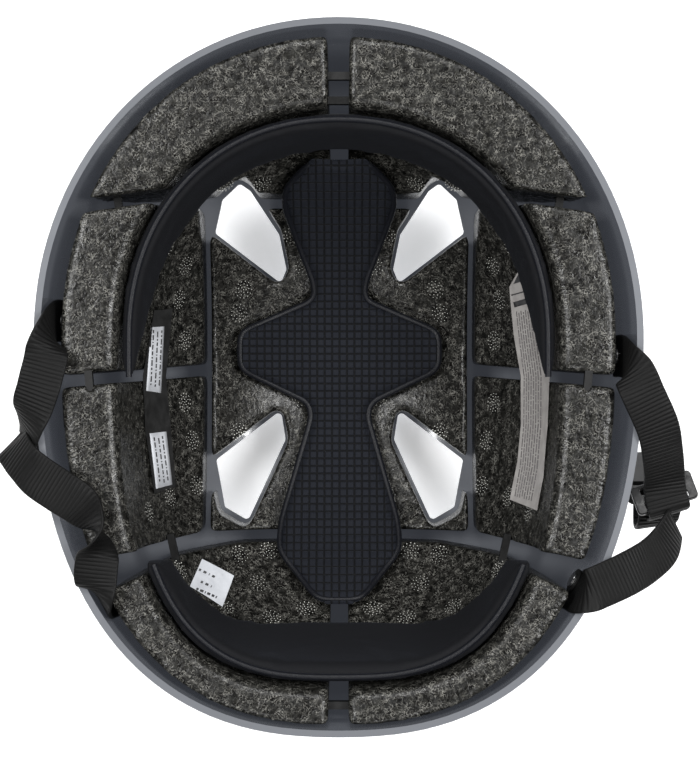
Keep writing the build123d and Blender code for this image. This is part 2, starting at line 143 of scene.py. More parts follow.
# ---------------------------------------------------------------- node materials
class Shader:
    """A Principled material and short calls for the nodes that feed it."""

    def __init__(self, name, roughness=0.5, color=(0.5, 0.5, 0.5), **values):
        self.material = bpy.data.materials.new(name)
        self.material.use_nodes = True
        self.nodes = self.material.node_tree.nodes
        self.links = self.material.node_tree.links
        self.bsdf = self.nodes["Principled BSDF"]
        self.set("Base Color", (*color, 1))
        self.set("Roughness", roughness)
        for key, value in values.items():
            self.set(key.replace("_", " "), value)
        self.place = self.nodes.new("ShaderNodeTexCoord").outputs["Object"]

    def set(self, socket, value):
        self.bsdf.inputs[socket].default_value = value

    def feed(self, socket, output):
        self.links.new(output, self.bsdf.inputs[socket])

    def node(self, kind, inputs=None, **properties):
        made = self.nodes.new(kind)
        for key, value in properties.items():
            setattr(made, key, value)
        for key, value in (inputs or {}).items():
            if isinstance(value, bpy.types.NodeSocket):
                self.links.new(value, made.inputs[key])
            else:
                made.inputs[key].default_value = value
        return made

    def noise(self, scale, detail=3.0, rough=0.5, place=None):
        inputs = {"Vector": place or self.place, "Scale": scale, "Detail": detail, "Roughness": rough}
        return self.node("ShaderNodeTexNoise", inputs).outputs["Fac"]

    def cells(self, scale, feature="F1", output="Distance", place=None):
        inputs = {"Vector": place or self.place, "Scale": scale}
        return self.node("ShaderNodeTexVoronoi", inputs, feature=feature).outputs[output]

    def ramp(self, value, *stops):
        """Colour ramp over stops, each a place and a grey or a colour."""
        made = self.node("ShaderNodeValToRGB", {"Fac": value})
        elements = made.color_ramp.elements
        while len(elements) < len(stops):
            elements.new(0.5)
        for element, (at, shade) in zip(elements, stops):
            element.position = at
            element.color = (*shade, 1) if isinstance(shade, tuple) else (shade, shade, shade, 1)
        return made.outputs["Color"]

    def math(self, operation, a, b=0.0, c=0.0):
        return self.node("ShaderNodeMath", {0: a, 1: b, 2: c}, operation=operation).outputs[0]

    def mix(self, factor, a, b, blend="MIX"):
        made = self.node("ShaderNodeMix", {"Factor": factor}, data_type="RGBA", blend_type=blend)
        for socket, value in (("A", a), ("B", b)):
            target = [s for s in made.inputs if s.name == socket and s.type == "RGBA"][0]
            if isinstance(value, bpy.types.NodeSocket):
                self.links.new(value, target)
            else:
                target.default_value = (*value, 1)
        return [s for s in made.outputs if s.type == "RGBA"][0]

    def split(self, vector=None):
        return self.node("ShaderNodeSeparateXYZ", {"Vector": vector or self.place}).outputs

    def bump(self, height, strength=0.5, distance=0.0002, normal=None):
        inputs = {"Height": height, "Strength": strength, "Distance": distance}
        if normal:
            inputs["Normal"] = normal
        return self.node("ShaderNodeBump", inputs).outputs["Normal"]


MOUTH = (0.0, -0.005, 0.160)     # a point in the head opening, which the shell's inner wall faces
INNER_WALL_SHADE = (0.12, 0.125, 0.135)     # painted shade: the inner wall is dark, standing for the shade between the foam blocks
SHADE_BLEND = 20.0     # how sharply the painted shade of the inner wall gives way to the light plastic of the outer wall, per metre


def shell_material():
    """Glossy light plastic with a faint painted glow, and painted shade on the inner wall."""
    s = Shader("shell_white_painted_shade", 0.16, (0.84, 0.85, 0.87), Coat_Weight=0.6, Coat_Roughness=0.06, IOR=1.49)
    cloud = s.noise(14, 3)
    place = s.node("ShaderNodeNewGeometry").outputs
    reach = s.node("ShaderNodeVectorMath", {0: place["Position"], 1: MOUTH}, operation="SUBTRACT").outputs[0]
    outwards = s.node("ShaderNodeVectorMath", {0: reach, 1: place["Normal"]}, operation="DOT_PRODUCT")
    unshaded_share = s.math("MULTIPLY_ADD", outwards.outputs["Value"], SHADE_BLEND, 0.5)
    white = s.ramp(cloud, (0.3, (0.53, 0.55, 0.59)), (0.7, (0.57, 0.59, 0.62)))
    # painted shade: the inner wall facing the mouth takes the dark colour, the outer wall the light plastic
    s.feed("Base Color", s.mix(unshaded_share, INNER_WALL_SHADE, white))
    s.feed("Roughness", s.ramp(s.noise(90, 4, 0.6), (0.3, 0.12), (0.75, 0.24)))
    s.feed("Normal", s.bump(s.noise(350, 2), 0.06, 0.0002))
    # painted glow: a faint emission over the whole shell stands in for light coming through the thin plastic
    s.set("Emission Color", (0.76, 0.83, 1.0, 1))
    s.set("Emission Strength", 0.04)
    return s.material


def foam_material():
    """Moulded bead foam: dark beads, painted highlights along the crinkled skins between them, and a patchy
    shine.
    """
    s = Shader("bead_foam", 0.45, (0.03, 0.03, 0.03), IOR=1.5, Specular_IOR_Level=0.26)
    field = s.noise(820, 2, 0.5)
    crease = s.math("ABSOLUTE", s.math("SUBTRACT", field, 0.5))
    lines = s.ramp(crease, (0.0, 1.0), (0.05, 0.0))
    where = s.ramp(s.noise(330, 3, 0.6), (0.40, 0.0), (0.64, 1.0))
    tone = s.node("ShaderNodeSeparateColor", {"Color": s.cells(620, "F1", "Color")}).outputs[0]
    grain = s.math("MULTIPLY_ADD", s.noise(1500, 3, 0.7), 0.6, s.math("MULTIPLY", tone, 0.4))
    base = s.ramp(grain, (0.32, (0.0018, 0.0018, 0.0015)), (0.72, (0.018, 0.0176, 0.0155)))
    # painted highlight: thin pale lines on the bead skins, in patches, stand for the glints of light on them
    painted_skin_glint = s.math("MULTIPLY", lines, where)
    s.feed("Base Color", s.mix(painted_skin_glint, base, (0.21, 0.205, 0.185)))
    s.feed("Roughness", s.ramp(s.noise(300, 5, 0.7), (0.34, 0.14), (0.64, 0.42)))
    height = s.math("MULTIPLY_ADD", field, 0.55, s.math("MULTIPLY", s.noise(150, 2), 0.9))
    s.feed("Normal", s.bump(height, 0.6, 0.0007))
    return s.material


def plain_plastic(name, color, roughness):
    s = Shader(name, roughness, color, IOR=1.49, Specular_IOR_Level=0.28)
    dark, light = tuple(0.75 * c for c in color), tuple(1.4 * c for c in color)
    smooth, rough = roughness * 0.8, min(1.0, roughness * 1.35)
    s.feed("Base Color", s.ramp(s.noise(120, 4), (0.3, dark), (0.7, light)))
    s.feed("Roughness", s.ramp(s.noise(500, 4, 0.6), (0.3, smooth), (0.7, rough)))
    s.feed("Normal", s.bump(s.noise(1800, 2), 0.15, 0.0001))
    return s.material


def fabric_material(name, color, thread, fuzz, sheen=0.05, rough=0.82, grid=None):
    """Knitted fabric: fine crossing threads with a fuzzy tone, and, if asked, grooves of an embossed grid
    darkened with painted shade.
    """
    s = Shader(name, rough, color, Sheen_Weight=sheen, Sheen_Roughness=0.4, Specular_IOR_Level=0.22)
    s.set("Sheen Tint", (0.55, 0.62, 0.82, 1))
    x, y, z = s.split()
    along = s.math("SINE", s.math("MULTIPLY", s.math("ADD", x, z), 2 * math.pi / thread))
    cross = s.math("SINE", s.math("MULTIPLY", s.math("ADD", y, z), 2 * math.pi / thread))
    weave = s.math("MULTIPLY_ADD", s.math("MULTIPLY", along, cross), 0.5, 0.5)
    fine = s.noise(fuzz, 4, 0.7)
    tone = s.math("MULTIPLY_ADD", weave, 0.45, s.math("MULTIPLY", fine, 0.75))
    shade = s.ramp(tone, (0.25, tuple(0.3 * c for c in color)), (0.85, tuple(2.0 * c for c in color)))
    relief = s.math("MULTIPLY", tone, 0.3)
    if grid:
        steps = []
        for place in (x, y):
            turn = s.math("FRACT", s.math("MULTIPLY_ADD", place, 1 / grid, 100.5))
            off = s.math("ABSOLUTE", s.math("SUBTRACT", turn, 0.5))
            steps.append(s.ramp(off, (0.05, 0.0), (0.15, 1.0)))
        square = s.math("MULTIPLY", *steps)
        # painted shade: the grid's grooves are darkened to 0.12 of the fabric colour, standing for the shade
        # in them
        shade = s.mix(square, tuple(0.12 * c for c in color), shade)
        relief = s.math("MULTIPLY_ADD", square, 1.0, relief)
    s.feed("Base Color", shade)
    s.feed("Roughness", s.ramp(fine, (0.3, rough * 0.85), (0.7, min(1.0, rough * 1.15))))
    s.feed("Normal", s.bump(relief, 0.7, 0.0005 if grid else 0.0004))
    return s.material


def webbing_material():
    s = Shader("webbing_black", 0.5, (0.012, 0.012, 0.012), Specular_IOR_Level=0.13)
    fine = s.noise(2600, 3, 0.6)
    broad = s.noise(60, 2)
    tone = s.math("MULTIPLY_ADD", fine, 0.7, s.math("MULTIPLY", broad, 0.3))
    s.feed("Base Color", s.ramp(tone, (0.3, 0.002), (0.75, 0.009)))
    s.feed("Roughness", s.ramp(fine, (0.3, 0.38), (0.7, 0.62)))
    s.feed("Normal", s.bump(fine, 0.35, 0.00012))
    return s.material


def label_material(name, base, streak, roughness):
    s = Shader(name, roughness, base, IOR=1.45)
    s.feed("Base Color", s.ramp(s.noise(180, 4), (0.3, streak), (0.7, base)))
    s.feed("Roughness", s.ramp(s.noise(400, 3), (0.3, roughness * 0.8), (0.7, roughness * 1.2)))
    s.feed("Normal", s.bump(s.noise(120, 2), 0.25, 0.0003))
    return s.material


def metal_material():
    s = Shader("rivet_metal", 0.32, (0.62, 0.62, 0.63), Metallic=1.0)
    s.feed("Roughness", s.ramp(s.noise(900, 4), (0.3, 0.22), (0.7, 0.42)))
    s.feed("Base Color", s.ramp(s.noise(300, 3), (0.3, 0.48), (0.7, 0.7)))
    return s.material


SHELL = shell_material()
FOAM = foam_material()
LINK = plain_plastic("link_black", (0.006, 0.006, 0.006), 0.42)
ACETAL = plain_plastic("acetal_black", (0.006, 0.006, 0.0065), 0.33)
GRID_FABRIC = fabric_material("grid_fabric", (0.0050, 0.0060, 0.0092), 0.0007, 1500, grid=0.0032)
FLEECE = fabric_material("fleece_fabric", (0.0028, 0.0030, 0.0040), 0.0006, 1900, 0.02)
PIPING = fabric_material("piping_fabric", (0.0040, 0.0044, 0.0062), 0.0006, 1500, 0.03, 0.40)
HOOK_TAPE = fabric_material("hook_tape", (0.02, 0.02, 0.02), 0.0009, 1500)
WEBBING = webbing_material()
SILVER = label_material("label_silver", (0.50, 0.48, 0.46), (0.36, 0.34, 0.33), 0.4)
LABEL_BLACK = label_material("label_black", (0.012, 0.012, 0.012), (0.03, 0.03, 0.03), 0.4)
LABEL_WHITE = label_material("label_white", (0.74, 0.76, 0.80), (0.62, 0.64, 0.68), 0.5)
PRINT = label_material("print_dark", (0.04, 0.04, 0.045), (0.09, 0.09, 0.09), 0.6)
PRINT_GREY = label_material("print_grey", (0.15, 0.14, 0.14), (0.22, 0.21, 0.21), 0.6)
WASHER = plain_plastic("washer_black", (0.012, 0.012, 0.012), 0.45)
RIVET = metal_material()
DOTS = plain_plastic("moulding_dots", (0.60, 0.60, 0.56), 0.3)


def paint(obj, material):
    obj.data.materials.clear()
    obj.data.materials.append(material)
    return obj


def paint_node(name, material):
    node = NODES[name]
    node.data.materials.clear()
    node.data.materials.append(material)
    return node


# ---------------------------------------------------------------- camera, floor and light
def camera():
    data = bpy.data.cameras.new("camera")
    data.lens = 122.0
    data.sensor_width = 36.0
    data.clip_start = 0.05
    cam = bpy.data.objects.new("camera", data)
    cam.location = (0.0045, -0.0010, 1.140)
    bpy.context.scene.collection.objects.link(cam)
    bpy.context.scene.camera = cam


def area(name, place, size, power, color=(1, 1, 1)):
    data = bpy.data.lights.new(name, "AREA")
    data.shape = "RECTANGLE"
    data.size, data.size_y = size
    data.energy = power
    data.color = color
    light = bpy.data.objects.new(name, data)
    light.location = place
    target = Vector((0, 0, 0.08))
    light.rotation_euler = (target - Vector(place)).to_track_quat("-Z", "Y").to_euler()
    bpy.context.scene.collection.objects.link(light)
    return light


def studio():
    s = Shader("floor_pale", 0.9, (0.93, 0.93, 0.93))
    s.feed("Base Color", s.ramp(s.noise(3, 2), (0.3, 0.92), (0.7, 0.94)))
    size = 25.0
    points = [(-size, -size, 0), (size, -size, 0), (size, size, 0), (-size, size, 0)]
    floor = mesh_object("floor", points, [(0, 1, 2, 3)], smooth=False)
    floor.data.materials.append(s.material)
    s.set("Emission Color", (1, 1, 1, 1))
    s.set("Emission Strength", 0.36)
    world = bpy.data.worlds.new("studio")
    world.use_nodes = True
    background = world.node_tree.nodes["Background"]
    background.inputs["Color"].default_value = (1, 1, 1, 1)
    background.inputs["Strength"].default_value = 0.22
    bpy.context.scene.world = world
    area("left", (-0.66, 0.16, 1.18), (0.35, 0.5), 10)
    area("right", (0.72, 0.08, 1.18), (0.35, 0.5), 12)
    area("front", (0.05, 0.78, 1.15), (0.6, 0.3), 8)
    area("back", (-0.05, -0.80, 1.15), (0.6, 0.3), 4)
    bpy.context.scene.view_settings.view_transform = "Standard"
    bpy.context.scene.view_settings.look = "None"


# ---------------------------------------------------------------- foam liner, moulding dots and bevelled edges
def soften(name, voxel, rounds):
    """Round a CAD node's edges by modifiers alone; its own mesh stays as it is."""
    node = NODES[name]
    remesh = node.modifiers.new("even_faces", "REMESH")
    remesh.mode = "VOXEL"
    remesh.voxel_size = voxel
    remesh.use_smooth_shade = True
    smooth = node.modifiers.new("soft_edges", "SMOOTH")
    smooth.iterations = rounds
    smooth.factor = 0.5
    return node


def liner():
    for name in LINER_NODES:
        paint_node(name, FOAM)
        soften(name, 0.0013, 9)
    for name in NODES:
        if name.endswith("_links"):
            paint_node(name, LINK)


def bevelled(name, width):
    node = NODES[name]
    bevel = node.modifiers.new("worn_edge", "BEVEL")
    bevel.width = width
    bevel.segments = 3
    bevel.limit_method = "ANGLE"
    bevel.angle_limit = math.radians(40)
    bevel.harden_normals = False
    return node


# Groups of tiny moulding marks, at these places in plan on the left half, in mm.
DOT_PLACES = [
    (-23, 95), (-38, 89), (-32, 80), (-47, 78),
    (-70, 53), (-64, 46), (-67, 32), (-65, 15),
    (-15, 47), (-41, 37), (-20, 60), (-43, 27), (-43, -24), (-17, -9),
    (-65, -11), (-62, -27), (-60, -46), (-70, -50), (-77, -55),
    (-42, -75), (-30, -74), (-34, -87), (-28, -100), (-14, -97), (-15, -107), (-47, -95), (-65, -79),
]
DOT_STEP = 1.25
DOT_RING = [(0, 0)] + [
    (ring * DOT_STEP * math.cos(turn), ring * DOT_STEP * math.sin(turn))
    for ring, count in ((1, 5), (2, 9), (3, 13))
    for turn in [2 * math.pi * k / count + ring * 0.4 for k in range(count)]
]


def moulding_dots():
    """Small raised dots that the mould's vents leave in the foam."""
    tree = tree_of(LINER_NODES)
    points, faces = [], []
    for x, y in DOT_PLACES + [(-x, y) for x, y in DOT_PLACES]:
        landed = drop_on(tree, x, y)
        if landed is None:
            continue
        hit, normal = landed
        side = normal.orthogonal().normalized()
        other = normal.cross(side)
        for u, v in DOT_RING:
            foot = hit + side * u * MM + other * v * MM
            found, up, _, _ = tree.find_nearest(foot)
            start = len(points)
            radius = 0.27 * MM
            rim = [found + (side * math.cos(t) + other * math.sin(t)) * radius - normal * 0.1 * MM
                   for t in [2 * math.pi * k / 6 for k in range(6)]]
            points += rim + [found + normal * 0.28 * MM]
            faces += [(start + k, start + (k + 1) % 6, start + 6) for k in range(6)]
    dots = mesh_object("moulding_dots", points, faces)
    paint(dots, DOTS)
    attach(dots, ROOT)


# ---------------------------------------------------------------- padded pieces
CROWN_PAD_HALF = [
    (12.5, 88.5), (22.5, 79), (23.5, 72), (11, 40), (11, 33), (43, 19),
    (43, 3), (14, -11), (12, -17), (25, -62), (26, -74), (9, -94),
]
CROWN_PAD = CROWN_PAD_HALF + [(-x, y) for x, y in reversed(CROWN_PAD_HALF)]
GRID_PITCH = 3.2 * MM
GRID_GROOVE = 0.5 * MM
GRID_DEPTH = 0.38 * MM
UPWARD = 0.25               # only faces that look up more than this are embossed


def rounded_outline(points, radius, step=1.5):
    """Closed outline with each corner cut by a small curve, sampled about every step, in mm."""
    rounded = []
    count = len(points)
    for k in range(count):
        before, here, after = (Vector((*points[(k + d) % count], 0)) for d in (-1, 0, 1))
        reach = min(radius, (before - here).length * 0.45, (after - here).length * 0.45)
        start = here + (before - here).normalized() * reach
        end = here + (after - here).normalized() * reach
        rounded += [start, (start + 2 * here + end) / 4, end]
    outline = []
    for k, here in enumerate(rounded):
        after = rounded[(k + 1) % len(rounded)]
        parts = max(1, round((after - here).length / step))
        outline += [here + (after - here) * i / parts for i in range(parts)]
    return outline


def outline_distance(outline, points):
    """Distance in plan from each point (N x 2, mm) to a closed outline."""
    a = np.array([(p.x, p.y) for p in outline])
    b = np.roll(a, -1, axis=0)
    best = np.full(len(points), 1e9)
    for start, end in zip(a, b):
        d = end - start
        t = np.clip(((points - start) @ d) / max(d @ d, 1e-9), 0, 1)
        best = np.minimum(best, np.linalg.norm(points - (start + t[:, None] * d), axis=1))
    return best


def vertex_arrays(mesh):
    points = np.empty(len(mesh.vertices) * 3)
    mesh.vertices.foreach_get("co", points)
    normals = np.empty(len(mesh.vertices) * 3)
    mesh.vertex_normals.foreach_get("vector", normals)
    return points.reshape(-1, 3), normals.reshape(-1, 3)


def write_points(mesh, points):
    mesh.vertices.foreach_set("co", points.ravel())
    mesh.update()


def pad_blank(name, node, voxel, rounds):
    """Even mesh of a CAD pad, ready for stuffing."""
    mesh = bpy.data.meshes.new_from_object(NODES[node])
    pad = new_object(name, mesh)
    remesh = pad.modifiers.new("remesh", "REMESH")
    remesh.mode = "VOXEL"
    remesh.voxel_size = voxel
    smooth = pad.modifiers.new("smooth", "SMOOTH")
    smooth.iterations = rounds
    smooth.factor = 0.5
    return bake_modifiers(pad)


def stuff(pad, pressure, cap, back_cap):
    """Swell the pad by a short cloth simulation, with the movement capped, less towards the liner."""
    before, normals = vertex_arrays(pad.data)
    cloth = pad.modifiers.new("cloth", "CLOTH")
    settings = cloth.settings
    settings.quality = 5
    settings.mass = 0.15
    settings.tension_stiffness = 12
    settings.compression_stiffness = 12
    settings.bending_stiffness = 0.6
    settings.use_pressure = True
    settings.uniform_pressure_force = pressure
    settings.effector_weights.gravity = 0
    cloth.point_cache.frame_start = 1
    cloth.point_cache.frame_end = 20
    scene = bpy.context.scene
    for step in range(1, 21):
        scene.frame_set(step)
    bake_modifiers(pad)
    scene.frame_set(1)
    after, _ = vertex_arrays(pad.data)
    move = after - before
    length = np.linalg.norm(move, axis=1)
    centre = np.array([0, 0, 0.11])
    inward = np.einsum("ij,ij->i", normals, centre - before) > 0
    limit = np.where(inward, cap, back_cap)
    share = np.minimum(1, limit / np.maximum(length, 1e-9))
    write_points(pad.data, before + move * share[:, None])


def subdivided(pad, levels):
    modifier = pad.modifiers.new("subdivide", "SUBSURF")
    modifier.levels = modifier.render_levels = levels
    bake_modifiers(pad)
    pad.data.shade_smooth()


def emboss_grid(pad, outline, margin):
    """Sink a square grid of grooves into the side of a pad that faces the head."""
    points, normals = vertex_arrays(pad.data)
    x, y = points[:, 0], points[:, 1]
    inside = outline_distance(outline, points[:, :2] / MM)

    def groove(place):
        off = np.abs((place / GRID_PITCH + 0.5) % 1 - 0.5) * GRID_PITCH
        return np.clip(1 - off / GRID_GROOVE, 0, 1)

    depth = np.maximum(groove(x), groove(y))
    fade = np.clip(inside - margin, 0, 1) * np.clip((normals[:, 2] - UPWARD) / 0.1, 0, 1)
    write_points(pad.data, points - normals * (GRID_DEPTH * depth * fade)[:, None])


def finish_pad(pad, material, node):
    paint(pad, material)
    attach(pad, ROOT)
    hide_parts(node)


def crown_pad():
    outline = rounded_outline(CROWN_PAD, 3.0)
    pad = pad_blank("crown_comfort_pad", "crown_pad", 2.0 * MM, 6)
    points, normals = vertex_arrays(pad.data)
    near = np.clip(1 - outline_distance(outline, points[:, :2] / MM) / 4.5, 0, 1)
    drop = np.where(normals[:, 2] > 0.2, 2.2 * MM * near**1.5, 0)
    points[:, 2] -= drop
    write_points(pad.data, points)
    stuff(pad, 3.0, 1.4 * MM, 0.5 * MM)
    subdivided(pad, 2)
    emboss_grid(pad, outline, 3.4)
    finish_pad(pad, GRID_FABRIC, "crown_pad")
    tree = tree_of(["crown_pad"])
    path = []
    for point in rounded_outline([(x * 0.985, y * 0.99) for x, y in CROWN_PAD], 4.0, 4.0):
        landed = drop_on(tree, point.x * 0.97, point.y * 0.985)
        if landed:
            path.append((point.x * MM, point.y * MM, landed[0].z - 2.9 * MM))
    binding = tube("crown_pad_binding", path, 1.35 * MM, closed=True)
    paint(binding, PIPING)
    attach(binding, ROOT)


def rim_z(y):
    """Height in mm of the shell's edge."""
    if y > 30:
        return 138.0 + 3.0 * ((y - 30) / 110) ** 2
    if y < -20:
        return 138.0 + 9.0 * ((y + 20) / 120) ** 2
    return 138.0


def band_pad(name, node, turns, material):
    pad = pad_blank(name, node, 2.2 * MM, 10)
    stuff(pad, 3.0, 1.6 * MM, 0.5 * MM)
    subdivided(pad, 1)
    finish_pad(pad, material, node)
    start, end = turns
    path = []
    for k in range(61):
        turn = start + (end - start) * k / 60
        flat = cavity_ring(120, 4.0, turn)
        z = rim_z(flat.y) - 7.6
        spot = cavity_ring(z, 4.2, turn)
        path.append(spot * MM)
    piping = tube(name + "_piping", path, 1.25 * MM)
    paint(piping, PIPING)
    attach(piping, ROOT)
    return pad


# ---------------------------------------------------------------- webbing
RIB_PITCH = 1.6
RIB_HEIGHT = 0.42
WEB_WIDTH = 17.0
WEB_THICKNESS = 1.3
RIBBON_STEP = 0.2


def through(values, at):
    """Smooth curve through rows of values at whole-number places, read at the places in at."""
    values = np.array(values, float)
    slopes = np.gradient(values, axis=0)
    index = np.clip(at.astype(int), 0, len(values) - 2)
    t = (at - index)[:, None]
    a, b = values[index], values[index + 1]
    ma, mb = slopes[index], slopes[index + 1]
    return (
        (2 * t**3 - 3 * t**2 + 1) * a
        + (t**3 - 2 * t**2 + t) * ma
        + (3 * t**2 - 2 * t**3) * b
        + (t**3 - t**2) * mb
    )


def ribbon(name, stations):
    """Ribbed webbing in mm through stations, each a centre and the direction of its width."""
    coarse = np.linspace(0, len(stations) - 1, 400)
    track = through([c for c, _ in stations], coarse)
    run = np.concatenate([[0], np.cumsum(np.linalg.norm(np.diff(track, axis=0), axis=1))])
    count = max(8, int(run[-1] / RIBBON_STEP))
    at = np.interp(np.linspace(0, run[-1], count), run, coarse)
    centre = through([c for c, _ in stations], at)
    across = through([np.array(w) / np.linalg.norm(w) for _, w in stations], at)
    ahead = np.gradient(centre, axis=0)
    ahead /= np.linalg.norm(ahead, axis=1)[:, None]
    across -= ahead * np.einsum("ij,ij->i", across, ahead)[:, None]
    across /= np.linalg.norm(across, axis=1)[:, None]
    up = np.cross(ahead, across)
    length = np.linspace(0, run[-1], count)
    rib = np.sqrt(np.abs(np.cos(math.pi * length / RIB_PITCH)))
    columns = [-1, -0.985, -0.95, -0.9, -0.5, 0, 0.5, 0.9, 0.95, 0.985, 1]
    heights = [0.25, 0.75, 1.0, 0, 0, 0, 0, 0, 1.0, 0.75, 0.25]
    loop = []
    for face in (1, -1):
        for column, height in list(zip(columns, heights))[::face]:
            loop.append((column, height, face))
    points, faces = [], []
    for k in range(count):
        for column, height, face in loop:
            if height:
                lift = height * WEB_THICKNESS / 2
            else:
                lift = WEB_THICKNESS / 2 - RIB_HEIGHT / 2 + RIB_HEIGHT * rib[k]
            spot = centre[k] + across[k] * column * WEB_WIDTH / 2 + up[k] * lift * face
            points.append(spot * MM)
    size = len(loop)
    for k in range(count - 1):
        for j in range(size):
            n = (j + 1) % size
            faces.append((k * size + j, k * size + n, (k + 1) * size + n, (k + 1) * size + j))
    faces.append(tuple(range(size))[::-1])
    faces.append(tuple((count - 1) * size + j for j in range(size)))
    band = mesh_object(name, points, faces)
    work = bmesh.new()
    work.from_mesh(band.data)
    bmesh.ops.recalc_face_normals(work, faces=work.faces)
    work.to_mesh(band.data)
    work.free()
    band.data.shade_smooth()
    return paint(band, WEBBING)


def straps():
    right_front = ribbon("right_front_strap", [
        ((111.6, 8, 104), (0.02, 1, 0)),
        ((112.4, 8, 118), (0.02, 1, 0)),
        ((112.9, 7, 130), (0.02, 1, 0)),
        ((113.6, 4, 138.5), (0.2, 0.98, 0)),
        ((115.5, 0, 142), (0.5, 0.86, 0)),
        ((118.5, -7, 142.8), (0.73, 0.68, 0)),
        ((124.5, -20, 140), (0.87, 0.48, 0)),
        ((127, -30, 134.5), (0.93, 0.36, -0.1)),
        ((128.5, -38.5, 128), (0.95, 0.3, -0.1)),
        ((128.9, -42.8, 124.9), (0.95, 0.31, 0)),
        ((129.4, -46.5, 123.9), (0.95, 0.31, 0)),
        ((130.3, -50.4, 125.2), (0.95, 0.31, 0)),
        ((131.1, -53.3, 124.2), (0.95, 0.31, 0)),
        ((131.2, -54.5, 120.5), (0.95, 0.31, 0)),
        ((130.6, -54.9, 116.0), (0.95, 0.28, 0)),
    ])
    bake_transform(right_front)
    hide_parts("right_front_anchor_webbing", "right_front_webbing")
    right_rear = ribbon("right_rear_strap", [
        ((93.0, -85.6, 108), (0.47, 0.88, 0)),
        ((94.0, -85.4, 122), (0.47, 0.88, 0)),
        ((94.4, -85.2, 134), (0.47, 0.88, 0)),
        ((95.4, -84.6, 141), (0.4, 0.92, 0)),
        ((98.5, -83, 144.6), (0.1, 0.99, 0)),
        ((104.5, -80.5, 144), (-0.35, 0.93, 0)),
        ((113, -76.8, 141), (-0.4, 0.9, 0)),
        ((121.7, -72.5, 134), (-0.45, 0.85, 0.2)),
        ((128.7, -67, 127), (-0.6, 0.7, 0.4)),
        ((133.5, -59, 121), (-0.5, 0.45, 0.75)),
    ])
    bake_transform(right_rear)
    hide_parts("right_rear_anchor_webbing", "right_rear_webbing")
    left_front = ribbon("left_front_strap", [
        ((-111.0, 22, 104), (0.03, 1, 0)),
        ((-112.0, 22, 118), (0.03, 1, 0)),
        ((-112.4, 20.5, 130), (-0.05, 1, 0)),
        ((-112.7, 17, 138), (-0.25, 0.97, 0)),
        ((-113.1, 11.5, 142), (-0.5, 0.87, 0)),
        ((-113.9, 6, 143), (-0.62, 0.78, 0)),
        ((-115.2, 1, 143.1), (-0.68, 0.73, 0)),
        ((-116.8, -5, 143), (-0.78, 0.6, -0.05)),
        ((-118.8, -11, 142), (-0.88, 0.45, -0.15)),
        ((-120.8, -18, 139), (-0.6, 0.6, -0.5)),
        ((-122.3, -24, 133.5), (-0.4, 0.55, -0.73)),
        ((-123.7, -28, 128), (-0.3, 0.6, -0.7)),
    ])
    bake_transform(left_front)
    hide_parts("left_front_anchor_webbing", "left_front_webbing")
    left_rear = ribbon("left_rear_strap", [
        ((-91.0, -88.6, 108), (-0.47, 0.88, 0)),
        ((-92.0, -88.2, 122), (-0.47, 0.88, 0)),
        ((-92.6, -87.4, 134), (-0.45, 0.9, 0)),
        ((-93.4, -85, 142), (-0.6, 0.8, 0)),
        ((-94.2, -79, 145.6), (-0.92, 0.35, 0)),
        ((-93.4, -71, 147), (-0.95, 0.1, 0.25)),
        ((-92.6, -64, 148), (-0.35, 0.05, 0.93)),
        ((-94.5, -57, 148.5), (0.5, 0.3, 0.8)),
        ((-100, -50, 147.4), (0.78, 0.58, 0.25)),
        ((-108.4, -44.5, 146), (0.8, 0.6, 0.1)),
        ((-117, -39, 143), (0.8, 0.6, 0.2)),
        ((-123, -33.5, 140), (0.75, 0.4, 0.5)),
        ((-127, -28.5, 134.5), (0.7, 0.3, 0.65)),
        ((-128, -26, 129), (0.6, 0.3, 0.7)),
    ])
    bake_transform(left_rear)
    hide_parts("left_rear_anchor_webbing", "left_rear_webbing")
    short = ribbon("right_short_loop", [
        ((129, -51, 116.8), (0.95, 0.31, 0)),
        ((127.8, -58.5, 111), (0.95, 0.2, 0)),
        ((127.5, -59.5, 103.5), (1, 0.1, 0)),
        ((128, -54, 98), (1, 0, 0)),
        ((128.3, -49.8, 95.8), (1, 0, 0)),
    ])
    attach(short, "right_buckle")
    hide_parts("right_short_webbing")
    chin = ribbon("left_chin_strap", [((-123.5, -30, z), (0, 1, 0)) for z in (110.5, 85, 60, 35, 10)])
    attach(chin, "left_chin_strap")
    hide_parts("left_chin_webbing")
    hem = ribbon("left_chin_hem", [((-124.8, -30, z), (0, 1, 0)) for z in (18, 14, 10)])
    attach(hem, "left_chin_strap")


# ---------------------------------------------------------------- label print
def patch(tree, corners, lift, pieces=(6, 2)):
    """Small four-cornered patch in plan (mm), laid on the surface below it and lifted off by lift."""
    across, along = pieces
    a, b, c, d = (Vector((*corner, 0)) for corner in corners)
    points, faces = [], []
    for i in range(across + 1):
        for j in range(along + 1):
            u, v = i / across, j / along
            spot = (a * (1 - u) + b * u) * (1 - v) + (d * (1 - u) + c * u) * v
            landed = drop_on(tree, spot.x, spot.y)
            if landed is None:
                return [], []
            hit, normal = landed
            points.append(hit + normal * lift * MM)
    for i in range(across):
        for j in range(along):
            k = i * (along + 1) + j
            faces.append((k, k + 1, k + along + 2, k + along + 1))
    return points, faces


def marks(name, tree, shapes, material, lift):
    points, faces = [], []
    for corners in shapes:
        more, cells = patch(tree, corners, lift)
        faces += [tuple(len(points) + i for i in cell) for cell in cells]
        points += more
    print_layer = mesh_object(name, points, faces)
    thick = print_layer.modifiers.new("film", "SOLIDIFY")
    thick.thickness = 0.08 * MM
    thick.offset = 0
    paint(print_layer, material)
    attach(print_layer, ROOT)


def bar(start, end, width):
    """Corners of a straight bar in plan."""
    a, b = Vector(start), Vector(end)
    side = (b - a).normalized().orthogonal() * width / 2
    return [a + side, b + side, b - side, a - side]


